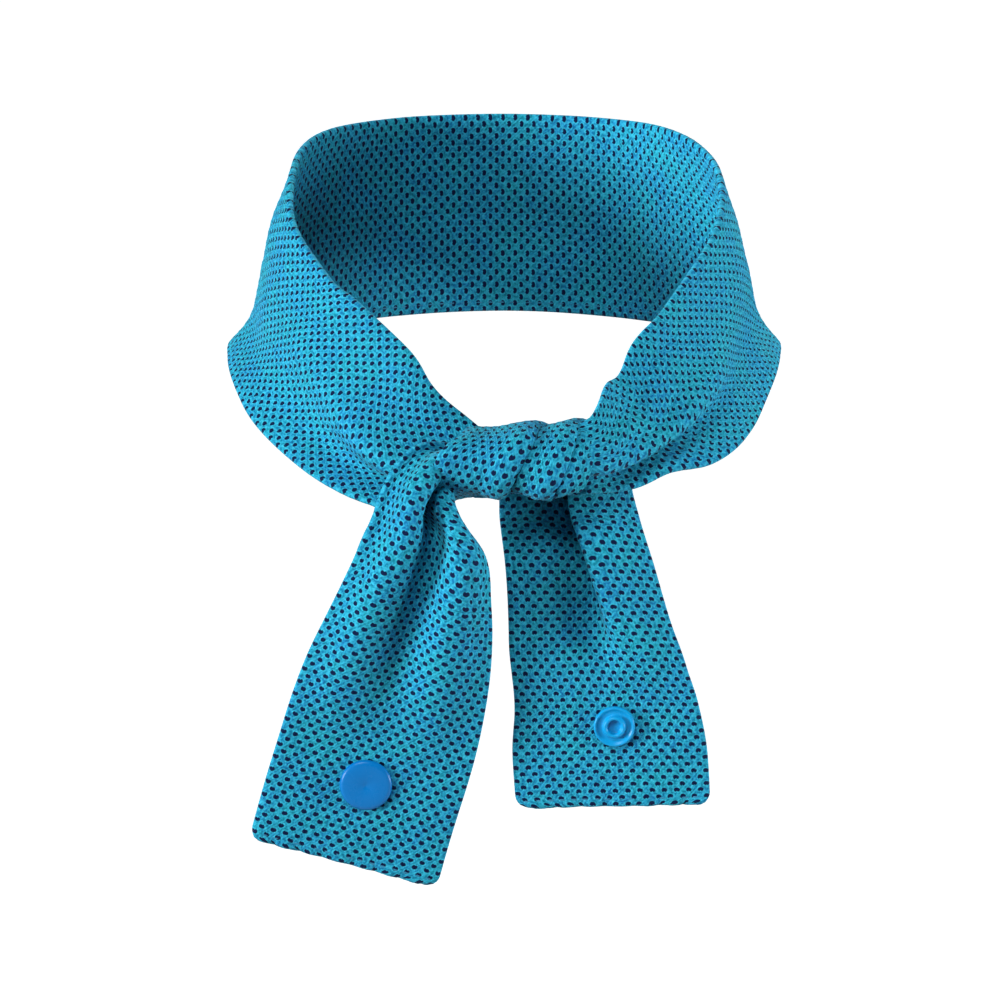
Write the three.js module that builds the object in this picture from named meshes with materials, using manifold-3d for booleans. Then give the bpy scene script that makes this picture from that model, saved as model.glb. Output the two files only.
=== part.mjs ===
// Cooling neck wrap: a flat strip of two-layer eyelet mesh, tied in front with one overhand knot.
// Two end tabs are sewn to the strip, and each carries one plastic snap half.
// Millimetres, +Z up, +X to the right, +Y to the back. The origin is the centre of the neck opening.
import * as THREE from "three";
import { mergeVertices } from "three/addons/utils/BufferGeometryUtils.js";
import Module from "manifold-3d";

// Driving dimensions
const NECK_WIDTH = 120; // across the neck opening
const NECK_DEPTH = 124; // front to back, to the middle of the cloth at the back
const BAND_WIDTH = 57; // width of the strip behind the neck
const TAB_WIDTH = 52; // width of the strip at its ends
const TAB_LENGTH = 78; // from a tab's hem to its cross seam
const CLOTH = 2; // thickness of the two layers together
const SEAM_GAP = 0.3; // clearance between sewn or clamped pieces
const KNOT_HEIGHT = 20; // height of the tied knot
const TAB_CORNER = 3.5; // corner radius at the hems
const CAP_FROM_HEM = 23.4; // from the left hem to the cap's centre
const SOCKET_FROM_HEM = 22.6; // from the right hem to the socket's centre
const SOCKET_ASIDE = 1.6; // from the right tab's middle to the socket's centre
const CAP_DIAMETER = 14;
const CAP_THICKNESS = 1.6;
const CAP_EDGE = 0.5; // rounding of the cap's rim
const POST_DIAMETER = 2.4; // the spike that goes through the cloth
const SOCKET_DIAMETER = 11;
const SOCKET_THICKNESS = 2.2; // to the top of the raised ring
const SOCKET_FLOOR = 0.8; // thickness of the plate between the rings
const SOCKET_RIM_HEIGHT = 1.7;
const SOCKET_RIM = 1.1; // width of the socket's outer rim
const SOCKET_RING = 6; // outer diameter of the raised ring
const SOCKET_BORE = 3.6; // the hollow inside that ring
const STUD_DIAMETER = 11;
const STUD_THICKNESS = 1.4;
const STUD_BALL = 3.4; // diameter of the stud's nose
const STUD_NOSE = 2.2; // how far the nose stands out
const STUD_WAIST = 0.35; // how much thinner the nose is at its root

// How finely the cloth is faceted
const FINE_STEP = 3.2; // along the strip in the knot
const COARSE_STEP = 10; // along the strip round the neck
const PANEL_CELLS = [4, 3, 4, 3, 4]; // across: lower panel, fold, middle panel, fold, upper panel
const ROUND_SIDES = 24;
const EDGE_STEPS = 2; // steps round the rim of a snap

// Colours
const CLOTH_BLUE = 0x16a0c8;
const SNAP_BLUE = 0x1c8fe0;

// Folds
const TIGHT_BEND = 4.2; // cloth used up by a fold of half a turn
const SOFT_BEND = 0.3; // share of the width used up by a gentle bend

const HALF_NECK = NECK_WIDTH / 2;
const HALF_DEPTH = NECK_DEPTH / 2;
const KNOT = new THREE.Vector3(0.1 * HALF_NECK, -1.25 * HALF_DEPTH, -0.77 * BAND_WIDTH);

// Each row is one section across the strip, in order from the left tab's hem to the right tab's hem.
// x, y, z: the section's middle. ax, ay, az: the way from the strip's lower edge to its upper edge.
// wide: 0 for a width of TAB_WIDTH, 1 for BAND_WIDTH, and less than 0 where the knot squeezes it.
// bow: degrees that the section curves from edge to edge.
// wave, waves, valley: swing of the gathers in degrees, how many there are, and the share where one dips.
// low, lowTurn, high, highTurn: two folds, each at a share of the width, with its turn in degrees.
// fine: 1 where the strip is faceted finely.
const COLUMNS = [
  "x", "y", "z", "ax", "ay", "az", "wide", "bow",
  "wave", "waves", "valley", "low", "lowTurn", "high", "highTurn", "fine",
];

// Left tail, as shares of TAB_WIDTH from the knot's middle
const LEFT_TAIL = [
  [-0.925, -0.11, -2.08, -0.963, 0, 0.27, 0, 0, 0, 2, 0, -0.25, 0, 0.25, 0, 0],
  [-0.84, -0.13, -1.77, -0.963, 0, 0.27, 0, 0, 0, 2, 0, -0.25, 0, 0.25, 0, 0],
  [-0.75, -0.15, -1.47, -0.963, 0, 0.27, 0, 0, 4, 2, 0, -0.25, 0, 0.25, 0, 0.1],
  [-0.66, -0.17, -1.15, -0.963, 0, 0.27, 0, 0, 22, 2, 0, -0.25, 0, 0.25, 0, 0.3],
  [-0.575, -0.18, -0.85, -0.963, 0, 0.27, 0, 0, 43, 2, 0, -0.25, 0, 0.25, 0, 0.4],
  [-0.52, -0.19, -0.6, -0.963, 0, 0.27, 0, 0, 60, 2, -0.02, -0.25, 0, 0.25, 0, 0.6],
  [-0.495, -0.19, -0.38, -0.97, 0, 0.24, -0.2, 0, 74, 2, -0.05, -0.25, 0, 0.25, 0, 0.9],
  [-0.535, -0.16, -0.19, -0.95, 0, 0.31, -1, 0, 98, 1.75, -0.1, -0.25, 0, 0.25, 0, 1],
];
// Right strand through the knot, as shares of KNOT_HEIGHT from the knot's middle
const INNER_STRAND = [
  [-1.17, -0.16, -0.08, -0.6, 0.1, 0.8, -3, 0, 104, 1.6, -0.14, -0.25, 0, 0.25, 0, 1],
  [-0.78, 0.14, -0.1, -0.15, 0, 1, -3.8, 0, 106, 1.7, -0.1, -0.25, 0, 0.25, 0, 1],
  [-0.3, 0.15, -0.08, 0, 0, 1, -3.2, 0, 104, 2, -0.05, -0.25, 0, 0.25, 0, 1],
  [0.1, 0.15, -0.06, 0, 0, 1, -3.2, 0, 104, 2, 0, -0.2, 0, 0.2, 0, 1],
  [0.48, 0.2, -0.04, 0.05, 0, 1, -4.4, -70, 30, 2, 0, -0.2, 120, 0.05, -120, 1],
  [0.86, -0.05, 0.1, 0.02, 0.1, 0.97, -3.6, 0, 10, 2, 0, -0.21, 155, 0.05, -155, 1],
];
// Round the neck, x as shares of half the width, y of half the depth and z of BAND_WIDTH
const NECK_LOOP = [
  [0.53, -1.13, -0.675, -0.27, 0.22, 0.87, -1, 20, 4, 2, 0, -0.205, 158, 0.03, -158, 1],
  [0.645, -1.02, -0.635, -0.47, 0.15, 0.84, -0.5, 20, 0, 2, 0, -0.185, 155, 0.05, -155, 0.9],
  [0.767, -0.895, -0.572, -0.57, 0.03, 0.82, -0.6, 15, 0, 2, 0, -0.175, 140, -0.03, -140, 0.7],
  [0.905, -0.71, -0.478, -0.58, -0.2, 0.79, -1.1, 10, 0, 2, 0, -0.19, 90, -0.06, -85, 0.4],
  [1.01, -0.5, -0.36, -0.507, -0.32, 0.8, -1, 5, 0, 2, 0, -0.22, 50, -0.02, -35, 0.3],
  [1.135, -0.137, -0.18, -0.37, -0.36, 0.858, -0.6, 0, 0, 2, 0, -0.3, 35, 0.2, -8, 0.2],
  [1.12, 0.18, -0.06, -0.3, -0.15, 0.94, 0.2, 0, 0, 2, 0, -0.3, 25, 0.2, -8, 0.1],
  [0.88, 0.5, 0, -0.11, -0.02, 1, 0.9, 0, 0, 2, 0, -0.25, 5, 0.25, -5, 0],
  [0.5, 0.87, 0, 0, 0, 1, 1, 0, 0, 2, 0, -0.25, 0, 0.25, 0, 0],
  [0, 1.01, 0, 0, 0, 1, 1, 0, 0, 2, 0, -0.25, 0, 0.25, 0, 0],
  [-0.5, 0.87, 0, 0, 0, 1, 1, 0, 0, 2, 0, -0.25, 0, 0.25, 0, 0],
  [-0.88, 0.5, 0, 0.11, -0.02, 1, 0.9, 0, 0, 2, 0, -0.25, 5, 0.25, -5, 0],
  [-1.085, 0.18, -0.06, 0.3, -0.15, 0.94, 0.2, 0, 0, 2, 0, -0.3, 25, 0.2, -8, 0.1],
  [-1.092, -0.147, -0.183, 0.406, -0.36, 0.832, -0.6, 0, 0, 2, 0, -0.3, 35, 0.2, -8, 0.2],
  [-0.98, -0.49, -0.327, 0.574, -0.35, 0.742, -1, 5, 0, 2, 0, -0.27, 30, 0.1, -15, 0.2],
  [-0.87, -0.688, -0.421, 0.6, -0.16, 0.78, -0.95, 10, 0, 2, 0, -0.25, 40, 0.05, -30, 0.3],
  [-0.668, -0.9, -0.577, 0.7, -0.05, 0.715, -0.95, 15, 0, 2, 0, -0.25, 70, -0.05, -65, 0.4],
  [-0.51, -1.048, -0.7, 0.645, 0.15, 0.747, -1.3, 20, 0, 2, 0, -0.25, 110, -0.05, -105, 0.7],
];
// Left strand round the knot, as shares of KNOT_HEIGHT from the knot's middle
const OUTER_STRAND = [
  [-1.36, 0.425, -0.05, 0.59, 0.287, 0.76, -1.7, 20, 0, 2, 0.1, -0.25, 130, -0.05, -125, 1],
  [-0.99, 0.44, -0.35, 0.72, 0.1, 0.66, -2.8, 10, 0, 2, 0.1, -0.25, 90, -0.05, -90, 1],
  [-0.55, 0.33, -0.38, 0.93, 0.1, 0.3, -3, 0, -8, 2.5, 0.1, -0.2, 50, 0, -50, 1],
  [-0.27, -0.02, -0.34, 0.99, 0, 0.08, -3.2, 8, -8, 2.5, 0.1, -0.1, 20, 0.1, -20, 1],
  [-0.23, -0.4, -0.22, 0.98, 0, -0.08, -2.4, 22, -12, 2.5, 0.1, 0, 10, 0.15, -10, 1],
  [-0.13, -0.5, 0.03, 0.96, 0.03, -0.2, -2.2, 26, -14, 2.5, 0.1, 0, 10, 0.15, -10, 1],
  [0.04, -0.34, 0.27, 0.97, -0.03, -0.15, -3, 25, -12, 2.5, 0.1, 0, 10, 0.15, -10, 1],
  [0.14, 0, 0.42, 0.99, -0.05, -0.02, -3.3, 14, -10, 2.5, 0.1, 0, 0, 0.15, 0, 1],
  [0.325, 0.375, 0.3, 0.98, 0, 0.1, -3, 10, -10, 2.5, 0.1, 0, 20, 0.15, -20, 1],
  [0.45, 0.575, -0.03, 1, 0, 0, -2, 0, 0, 2, 0.1, -0.02, 80, 0.13, -80, 1],
  [0.55, 0.5, -0.405, 1, 0, 0, -1, 0, 10, 2, 0, -0.02, 140, 0.13, -140, 1],
];
// Right tail, as shares of TAB_WIDTH from the knot's middle
const RIGHT_TAIL = [
  [0.24, 0.15, -0.33, 1, 0, 0, -0.2, 0, 20, 2, 0, -0.02, 145, 0.12, -145, 1],
  [0.29, 0.05, -0.55, 1, 0, 0, -0.2, 0, 18, 2, 0, 0, 125, 0.14, -125, 0.6],
  [0.343, 0, -0.85, 1, 0, 0, -0.5, 0, 14, 2, 0, 0, 82, 0.16, -82, 0.4],
  [0.387, -0.04, -1.06, 1, 0, 0, -0.9, 0, 6, 2, 0, 0, 23, 0.2, -23, 0.2],
  [0.427, -0.037, -1.26, 1, 0, 0.02, -0.6, 0, 0, 2, 0, 0, 2, 0.2, -2, 0],
  [0.445, -0.034, -1.5, 1, 0, 0.02, 0, 0, 0, 2, 0, 0, 0, 0.2, 0, 0],
  [0.465, -0.03, -1.8, 1, 0, 0.02, 0, 0, 0, 2, 0, 0, 0, 0.2, 0, 0],
];

const SECTION_CELLS = 96; // steps of the sum that lays out a section

const radians = THREE.MathUtils.degToRad;
const smooth = (t) => THREE.MathUtils.smoothstep(t, -0.5, 0.5);

function placedRows(table, middle, unit) {
  return table.map((cells) => {
    const row = Object.fromEntries(COLUMNS.map((name, i) => [name, cells[i]]));
    row.x = middle.x + row.x * unit.x;
    row.y = middle.y + row.y * unit.y;
    row.z = middle.z + row.z * unit.z;
    return row;
  });
}

const tabUnit = new THREE.Vector3(TAB_WIDTH, TAB_WIDTH, TAB_WIDTH);
const knotUnit = new THREE.Vector3(KNOT_HEIGHT, KNOT_HEIGHT, KNOT_HEIGHT);
const neckUnit = new THREE.Vector3(HALF_NECK, HALF_DEPTH, BAND_WIDTH);
const ROWS = [
  ...placedRows(LEFT_TAIL, KNOT, tabUnit),
  ...placedRows(INNER_STRAND, KNOT, knotUnit),
  ...placedRows(NECK_LOOP, new THREE.Vector3(), neckUnit),
  ...placedRows(OUTER_STRAND, KNOT, knotUnit),
  ...placedRows(RIGHT_TAIL, KNOT, tabUnit),
];

// A value between rows: a cubic through the two rows on either side
function between(name, t) {
  const last = ROWS.length - 1;
  const i = Math.min(Math.floor(t), last - 1);
  const f = t - i;
  const a = ROWS[Math.max(i - 1, 0)][name];
  const b = ROWS[i][name];
  const c = ROWS[i + 1][name];
  const d = ROWS[Math.min(i + 2, last)][name];
  const slopeB = (c - a) / 2;
  const slopeC = (d - b) / 2;
  const rise = c - b;
  return b + f * (slopeB + f * (3 * rise - 2 * slopeB - slopeC + f * (slopeB + slopeC - 2 * rise)));
}

const middleAt = (t) => new THREE.Vector3(between("x", t), between("y", t), between("z", t));
const acrossAt = (t) => new THREE.Vector3(between("ax", t), between("ay", t), between("az", t)).normalize();

// The way the strip's outer face looks
function outwardAt(t) {
  const along = middleAt(Math.min(t + 0.02, ROWS.length - 1)).sub(middleAt(Math.max(t - 0.02, 0)));
  return along.cross(acrossAt(t)).normalize();
}

// Lengths along the middle of the strip, at equal steps between rows
const STEPS_A_ROW = 24;
const LENGTHS = [0];
for (let i = 1; i <= (ROWS.length - 1) * STEPS_A_ROW; i++) {
  const step = middleAt(i / STEPS_A_ROW).distanceTo(middleAt((i - 1) / STEPS_A_ROW));
  LENGTHS.push(LENGTHS[i - 1] + step);
}
const STRIP_LENGTH = LENGTHS.at(-1);

function rowAt(length) {
  const i = Math.max(1, LENGTHS.findIndex((l) => l >= Math.min(length, STRIP_LENGTH - 1e-6)));
  return (i - 1 + (length - LENGTHS[i - 1]) / (LENGTHS[i] - LENGTHS[i - 1])) / STEPS_A_ROW;
}

// Half of the strip's width at a length, as a share of its full width there: hems have round corners
function cornerShare(length, width) {
  const fromHem = Math.min(length, STRIP_LENGTH - length);
  const inside = Math.max(0, TAB_CORNER - fromHem);
  return 1 - (2 * (TAB_CORNER - Math.sqrt(TAB_CORNER ** 2 - inside ** 2))) / width;
}

// Where the columns of facets lie across a section, so that some of them follow each fold
function columnShares(low, lowBend, high, highBend) {
  const midway = (low + high) / 2;
  const marks = [
    -0.5,
    Math.max(low - lowBend / 2, -0.46),
    Math.min(low + lowBend / 2, midway - 0.02),
    Math.max(high - highBend / 2, midway + 0.02),
    Math.min(high + highBend / 2, 0.46),
    0.5,
  ];
  const shares = [-0.5];
  PANEL_CELLS.forEach((cells, i) => {
    for (let k = 1; k <= cells; k++) shares.push(marks[i] + ((marks[i + 1] - marks[i]) * k) / cells);
  });
  return shares;
}

// The cloth's middle surface: one row of points across the strip, closer together in its folds
function crossSection(length) {
  const t = rowAt(length);
  const row = Object.fromEntries(COLUMNS.map((name) => [name, between(name, t)]));
  const across = acrossAt(t);
  const outward = outwardAt(t);
  const width = THREE.MathUtils.lerp(TAB_WIDTH, BAND_WIDTH, row.wide);
  const tight = (turn) => Math.min(Math.abs(turn) / 180, 1);
  const bend = (turn) => THREE.MathUtils.lerp(SOFT_BEND, TIGHT_BEND / width, tight(turn));
  const heading = (s) =>
    row.lowTurn * smooth((s - row.low) / bend(row.lowTurn)) +
    row.highTurn * smooth((s - row.high) / bend(row.highTurn)) +
    row.bow * s +
    row.wave * Math.sin(2 * Math.PI * row.waves * (s - row.valley));
  const shares = columnShares(row.low, bend(row.lowTurn), row.high, bend(row.highTurn));
  const path = [new THREE.Vector2()];
  for (let i = 0; i < SECTION_CELLS; i++) {
    const angle = radians(heading((i + 0.5) / SECTION_CELLS - 0.5));
    const step = new THREE.Vector2(Math.cos(angle), Math.sin(angle)).multiplyScalar(width / SECTION_CELLS);
    path.push(path[i].clone().add(step));
  }
  const chord = path.at(-1).clone();
  const turnBack = -chord.angle();
  const middle = chord.clone().multiplyScalar(0.5);
  const share = cornerShare(length, width);
  return shares.map((s) => {
    const place = THREE.MathUtils.clamp((s * share + 0.5) * SECTION_CELLS, 0, SECTION_CELLS);
    const i = Math.min(Math.floor(place), SECTION_CELLS - 1);
    const flat = path[i].clone().lerp(path[i + 1], place - i).sub(middle);
    flat.rotateAround(new THREE.Vector2(), turnBack);
    return middleAt(t).addScaledVector(across, flat.x).addScaledVector(outward, flat.y);
  });
}

// Lengths where the strip is faceted, closer where rows say fine
function stations(start, end) {
  const found = [start];
  while (found.at(-1) < end) {
    const fine = THREE.MathUtils.clamp(between("fine", rowAt(found.at(-1))), 0, 1);
    found.push(found.at(-1) + THREE.MathUtils.lerp(COARSE_STEP, FINE_STEP, fine));
  }
  const stretch = (end - start) / (found.at(-1) - start);
  return found.map((l) => start + (l - start) * stretch);
}

// A stretch of the strip as one closed wall of cloth
function clothWall(start, end, hemmed) {
  let lengths = stations(start, end);
  if (hemmed) {
    const atStart = start < TAB_CORNER;
    const corner = [0, 0.06, 0.25, 0.6].map((s) => s * TAB_CORNER);
    const rest = stations(TAB_CORNER, end - start);
    const fromHem = [...corner, ...rest];
    lengths = atStart ? fromHem : fromHem.map((l) => end - l).reverse();
  }
  const grid = lengths.map(crossSection);
  const rowsDown = grid.length;
  const columns = grid[0].length;
  const inGrid = (i, count) => THREE.MathUtils.clamp(i, 0, count - 1);
  const at = (i, j) => grid[inGrid(i, rowsDown)][inGrid(j, columns)];
  const positions = [];
  for (const side of [1, -1]) {
    for (let i = 0; i < rowsDown; i++) {
      for (let j = 0; j < columns; j++) {
        const down = at(i + 1, j).clone().sub(at(i - 1, j));
        const over = at(i, j + 1).clone().sub(at(i, j - 1));
        const normal = down.cross(over).normalize();
        const point = at(i, j).clone().addScaledVector(normal, (side * CLOTH) / 2);
        positions.push(point.x, point.y, point.z);
      }
    }
  }
  const index = [];
  const back = rowsDown * columns;
  const quad = (a, b, c, d) => index.push(a, b, c, a, c, d);
  for (let i = 0; i < rowsDown - 1; i++) {
    for (let j = 0; j < columns - 1; j++) {
      const a = i * columns + j;
      quad(a, a + columns, a + columns + 1, a + 1);
      quad(back + a, back + a + 1, back + a + columns + 1, back + a + columns);
    }
    const low = i * columns;
    const high = low + columns - 1;
    quad(low, back + low, back + low + columns, low + columns);
    quad(high, high + columns, back + high + columns, back + high);
  }
  for (let j = 0; j < columns - 1; j++) {
    const last = (rowsDown - 1) * columns + j;
    quad(j, j + 1, back + j + 1, back + j);
    quad(last, back + last, back + last + 1, last + 1);
  }
  const geometry = new THREE.BufferGeometry();
  geometry.setAttribute("position", new THREE.Float32BufferAttribute(positions, 3));
  geometry.setIndex(index);
  return geometry;
}

// The edge of a round snap: a quarter turn from the flat underside or face to the side
function roundedRim(radius, height, edge, upper) {
  const points = [];
  for (let i = 0; i <= EDGE_STEPS; i++) {
    const turn = (Math.PI / 2) * (i / EDGE_STEPS);
    const out = upper ? Math.cos(turn) : Math.sin(turn);
    const rise = upper ? Math.sin(turn) : Math.cos(turn);
    const up = upper ? height - edge + edge * rise : height + edge - edge * rise;
    points.push([radius - edge + edge * out, up]);
  }
  return points;
}

const turned = (points) =>
  new THREE.LatheGeometry(points.map(([x, y]) => new THREE.Vector2(x, y)), ROUND_SIDES);

// A cap and its spike, which ends inside the cloth's hole short of the snap half behind it
function capShape() {
  const spike = CLOTH + SEAM_GAP;
  return turned([
    [0, -spike],
    [POST_DIAMETER / 2, -spike],
    [POST_DIAMETER / 2, 0],
    [CAP_DIAMETER / 2 - CAP_EDGE / 2, 0],
    ...roundedRim(CAP_DIAMETER / 2, CAP_THICKNESS, CAP_EDGE, true),
    [0, CAP_THICKNESS],
  ]);
}

// The half with a round nose
function studShape() {
  const neck = STUD_BALL / 2 - STUD_WAIST;
  const top = STUD_THICKNESS + STUD_NOSE;
  return turned([
    [0, 0],
    [STUD_DIAMETER / 2, 0],
    ...roundedRim(STUD_DIAMETER / 2, STUD_THICKNESS, CAP_EDGE, true),
    [neck, STUD_THICKNESS],
    [STUD_BALL / 2, top - STUD_NOSE / 2],
    [neck, top],
    [0, top],
  ]);
}

// The half that takes the nose: a raised rim, and inside it a raised ring round a hollow
function socketShape() {
  const radius = SOCKET_DIAMETER / 2;
  const inside = radius - SOCKET_RIM;
  return turned([
    [0, 0],
    [radius, 0],
    ...roundedRim(radius, SOCKET_RIM_HEIGHT, CAP_EDGE, true),
    [inside, SOCKET_RIM_HEIGHT],
    [inside, SOCKET_FLOOR],
    [SOCKET_RING / 2, SOCKET_FLOOR],
    [SOCKET_RING / 2, SOCKET_THICKNESS],
    [SOCKET_BORE / 2, SOCKET_THICKNESS],
    [SOCKET_BORE / 2, SOCKET_FLOOR],
    [0, SOCKET_FLOOR],
  ]);
}

const wasm = await Module();
wasm.setup();

// A closed mesh as a solid that can be cut
function solidOf(geometry) {
  const bare = geometry.clone();
  bare.deleteAttribute("normal");
  bare.deleteAttribute("uv");
  const merged = mergeVertices(bare);
  const vertProperties = new Float32Array(merged.attributes.position.array);
  const triVerts = new Uint32Array(merged.index.array);
  return new wasm.Manifold(new wasm.Mesh({ numProp: 3, vertProperties, triVerts }));
}

// Where a snap sits: the cloth's middle, and the way its outer face looks there
function snapSeat({ length, aside }) {
  const t = rowAt(length);
  return { middle: middleAt(t).addScaledVector(acrossAt(t), aside), outward: outwardAt(t) };
}

// The cloth with a round hole for a spike, square to the cloth
function pierced(geometry, place) {
  const seat = snapSeat(place);
  const radius = POST_DIAMETER / 2 + SEAM_GAP;
  const drill = new THREE.CylinderGeometry(radius, radius, 4 * CLOTH, ROUND_SIDES);
  const turn = new THREE.Quaternion().setFromUnitVectors(new THREE.Vector3(0, 1, 0), seat.outward);
  drill.applyQuaternion(turn);
  drill.translate(...seat.middle.toArray());
  const cut = solidOf(geometry).subtract(solidOf(drill)).getMesh();
  const result = new THREE.BufferGeometry();
  result.setAttribute("position", new THREE.Float32BufferAttribute(cut.vertProperties, cut.numProp));
  result.setIndex([...cut.triVerts]);
  return result;
}

const model = new THREE.Group();
const cloth = new THREE.MeshStandardMaterial({ color: CLOTH_BLUE, roughness: 0.9, metalness: 0 });
const plastic = new THREE.MeshStandardMaterial({ color: SNAP_BLUE, roughness: 0.3, metalness: 0 });

function addPiece(name, geometry, material) {
  const mesh = new THREE.Mesh(geometry, material);
  mesh.name = name;
  model.add(mesh);
  return mesh;
}

// A snap half on one face of the strip: side is 1 for the outer face and -1 for the inner one
function addSnap(name, geometry, place, side) {
  const seat = snapSeat(place);
  const away = seat.outward.multiplyScalar(side);
  const mesh = addPiece(name, geometry, plastic);
  mesh.position.copy(seat.middle).addScaledVector(away, CLOTH / 2 + SEAM_GAP);
  mesh.quaternion.setFromUnitVectors(new THREE.Vector3(0, 1, 0), away);
}

const LEFT_SNAP = { length: CAP_FROM_HEM, aside: 0 };
const RIGHT_SNAP = { length: STRIP_LENGTH - SOCKET_FROM_HEM, aside: SOCKET_ASIDE };

addPiece("tab_left", pierced(clothWall(0, TAB_LENGTH, true), LEFT_SNAP), cloth);
addPiece("neck_band", clothWall(TAB_LENGTH + SEAM_GAP, STRIP_LENGTH - TAB_LENGTH - SEAM_GAP, false), cloth);
addPiece("tab_right", pierced(clothWall(STRIP_LENGTH - TAB_LENGTH, STRIP_LENGTH, true), RIGHT_SNAP), cloth);
addSnap("snap_cap_front", capShape(), LEFT_SNAP, 1);
addSnap("snap_stud", studShape(), LEFT_SNAP, -1);
addSnap("snap_socket", socketShape(), RIGHT_SNAP, 1);
addSnap("snap_cap_back", capShape(), RIGHT_SNAP, -1);

export default model;
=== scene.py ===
"""Cooling neck wrap: the looks of a tied strip of eyelet mesh cloth and its plastic snaps, in Blender."""

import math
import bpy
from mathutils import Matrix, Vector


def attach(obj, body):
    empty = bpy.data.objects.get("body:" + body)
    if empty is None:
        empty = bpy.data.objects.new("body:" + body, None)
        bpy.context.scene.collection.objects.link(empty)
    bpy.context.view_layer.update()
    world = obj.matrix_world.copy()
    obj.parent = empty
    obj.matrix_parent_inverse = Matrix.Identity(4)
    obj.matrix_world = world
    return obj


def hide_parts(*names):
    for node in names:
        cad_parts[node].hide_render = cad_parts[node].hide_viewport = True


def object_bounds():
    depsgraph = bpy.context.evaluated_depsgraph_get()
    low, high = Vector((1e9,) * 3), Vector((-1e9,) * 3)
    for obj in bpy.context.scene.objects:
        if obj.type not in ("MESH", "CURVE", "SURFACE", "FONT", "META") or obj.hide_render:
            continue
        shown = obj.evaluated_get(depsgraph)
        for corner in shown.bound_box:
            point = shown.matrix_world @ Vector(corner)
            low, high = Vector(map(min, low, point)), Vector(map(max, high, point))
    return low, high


bl_info = {
    "name": "Cooling Neck Wrap",
    "version": (1, 0, 0),
    "blender": (4, 5, 0),
    "location": "View3D > Sidebar > Neck Wrap",
    "description": "Builds a tied neck wrap of eyelet mesh cloth with plastic snaps on its tabs",
    "category": "Add Mesh",
}

import bmesh
import bpy
import numpy as np
from bpy.props import FloatProperty, FloatVectorProperty, IntProperty, PointerProperty
from mathutils import Matrix, Vector, noise

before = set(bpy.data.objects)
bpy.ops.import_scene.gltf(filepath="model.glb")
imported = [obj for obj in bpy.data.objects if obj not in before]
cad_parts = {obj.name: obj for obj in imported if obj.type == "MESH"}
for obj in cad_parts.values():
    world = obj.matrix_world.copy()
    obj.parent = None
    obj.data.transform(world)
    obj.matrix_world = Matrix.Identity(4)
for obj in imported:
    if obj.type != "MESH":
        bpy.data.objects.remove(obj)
CAD_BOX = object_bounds()

MM = 0.001


def colour(hex_value, alpha=1.0):
    """An sRGB hex colour, such as "0890a6", as linear red, green, blue and alpha."""
    srgb = [int(hex_value[i : i + 2], 16) / 255 for i in (0, 2, 4)]
    linear = [c / 12.92 if c <= 0.04045 else ((c + 0.055) / 1.055) ** 2.4 for c in srgb]
    return (*linear, alpha)


def length_setting(name, description, default):
    """A length that a user can change, in metres."""
    return FloatProperty(name=name, description=description, default=default, unit="LENGTH")


def colour_setting(name, description, hex_value):
    """A colour that a user can change."""
    return FloatVectorProperty(
        name=name, description=description, default=colour(hex_value), size=4, subtype="COLOR"
    )


class StripSettings(bpy.types.PropertyGroup):
    """Sizes of the strip of cloth, the same as in the solid model."""

    neck_width: length_setting("Neck width", "Across the neck opening", 120 * MM)
    neck_depth: length_setting("Neck depth", "Front to back of the neck opening", 124 * MM)
    band_width: length_setting("Band width", "Width of the strip behind the neck", 57 * MM)
    tab_width: length_setting("Tab width", "Width of the strip at its ends", 52 * MM)
    tab_length: length_setting("Tab length", "From a hem to its cross seam", 78 * MM)
    cloth: length_setting("Cloth", "Thickness of the two layers together", 2 * MM)
    seam_gap: length_setting("Seam gap", "Clearance between sewn or clamped pieces", 0.3 * MM)
    knot_height: length_setting("Knot height", "Height of the tied knot", 20 * MM)
    tab_corner: length_setting("Tab corner", "Corner radius at the hems", 3.5 * MM)
    cap_from_hem: length_setting("Cap from hem", "From the left hem to the cap's centre", 23.4 * MM)
    socket_from_hem: length_setting("Socket from hem", "From the right hem to the socket's centre", 22.6 * MM)
    socket_aside: length_setting("Socket aside", "From the right tab's middle to the socket", 1.6 * MM)


class MeshSettings(bpy.types.PropertyGroup):
    """The eyelet mesh: its pitch, its relief and its colours."""

    eyelet_rows: IntProperty(
        name="Eyelet rows", description="Cells across the strip; every other cell is an eyelet", default=32
    )
    row_pitch: length_setting("Row pitch", "From one row of eyelets to the next along the strip", 1.8 * MM)
    eyelet_depth: length_setting("Eyelet depth", "How far the eyelets sink into the cloth", 0.45 * MM)
    yarn_rise: length_setting("Yarn rise", "How far the knit stands up between eyelets", 0.1 * MM)
    cloth_colour: colour_setting("Cloth colour", "Dyed polyester yarn", "0890a6")
    shade_colour: colour_setting("Shade colour", "Yarn where the dye took more", "0674b6")
    # Painted shade: darker speckles for the shade on yarn that lies lower in the knit
    deep_shade_colour: colour_setting("Deep colour", "Yarn that lies lower in the knit", "045c7a")
    # Partly painted highlight: the stretched yarn round an eyelet is lighter, and it and the bright speckles
    # are painted whiter still as highlights
    rim_highlight_colour: colour_setting("Rim colour", "Stretched yarn round an eyelet", "38bede")
    # Painted shade: eyelets are painted this dark colour for the shadow that the lining inside them lies in
    hole_shade_colour: colour_setting("Hole colour", "Dark lining seen through an eyelet", "021640")


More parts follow.
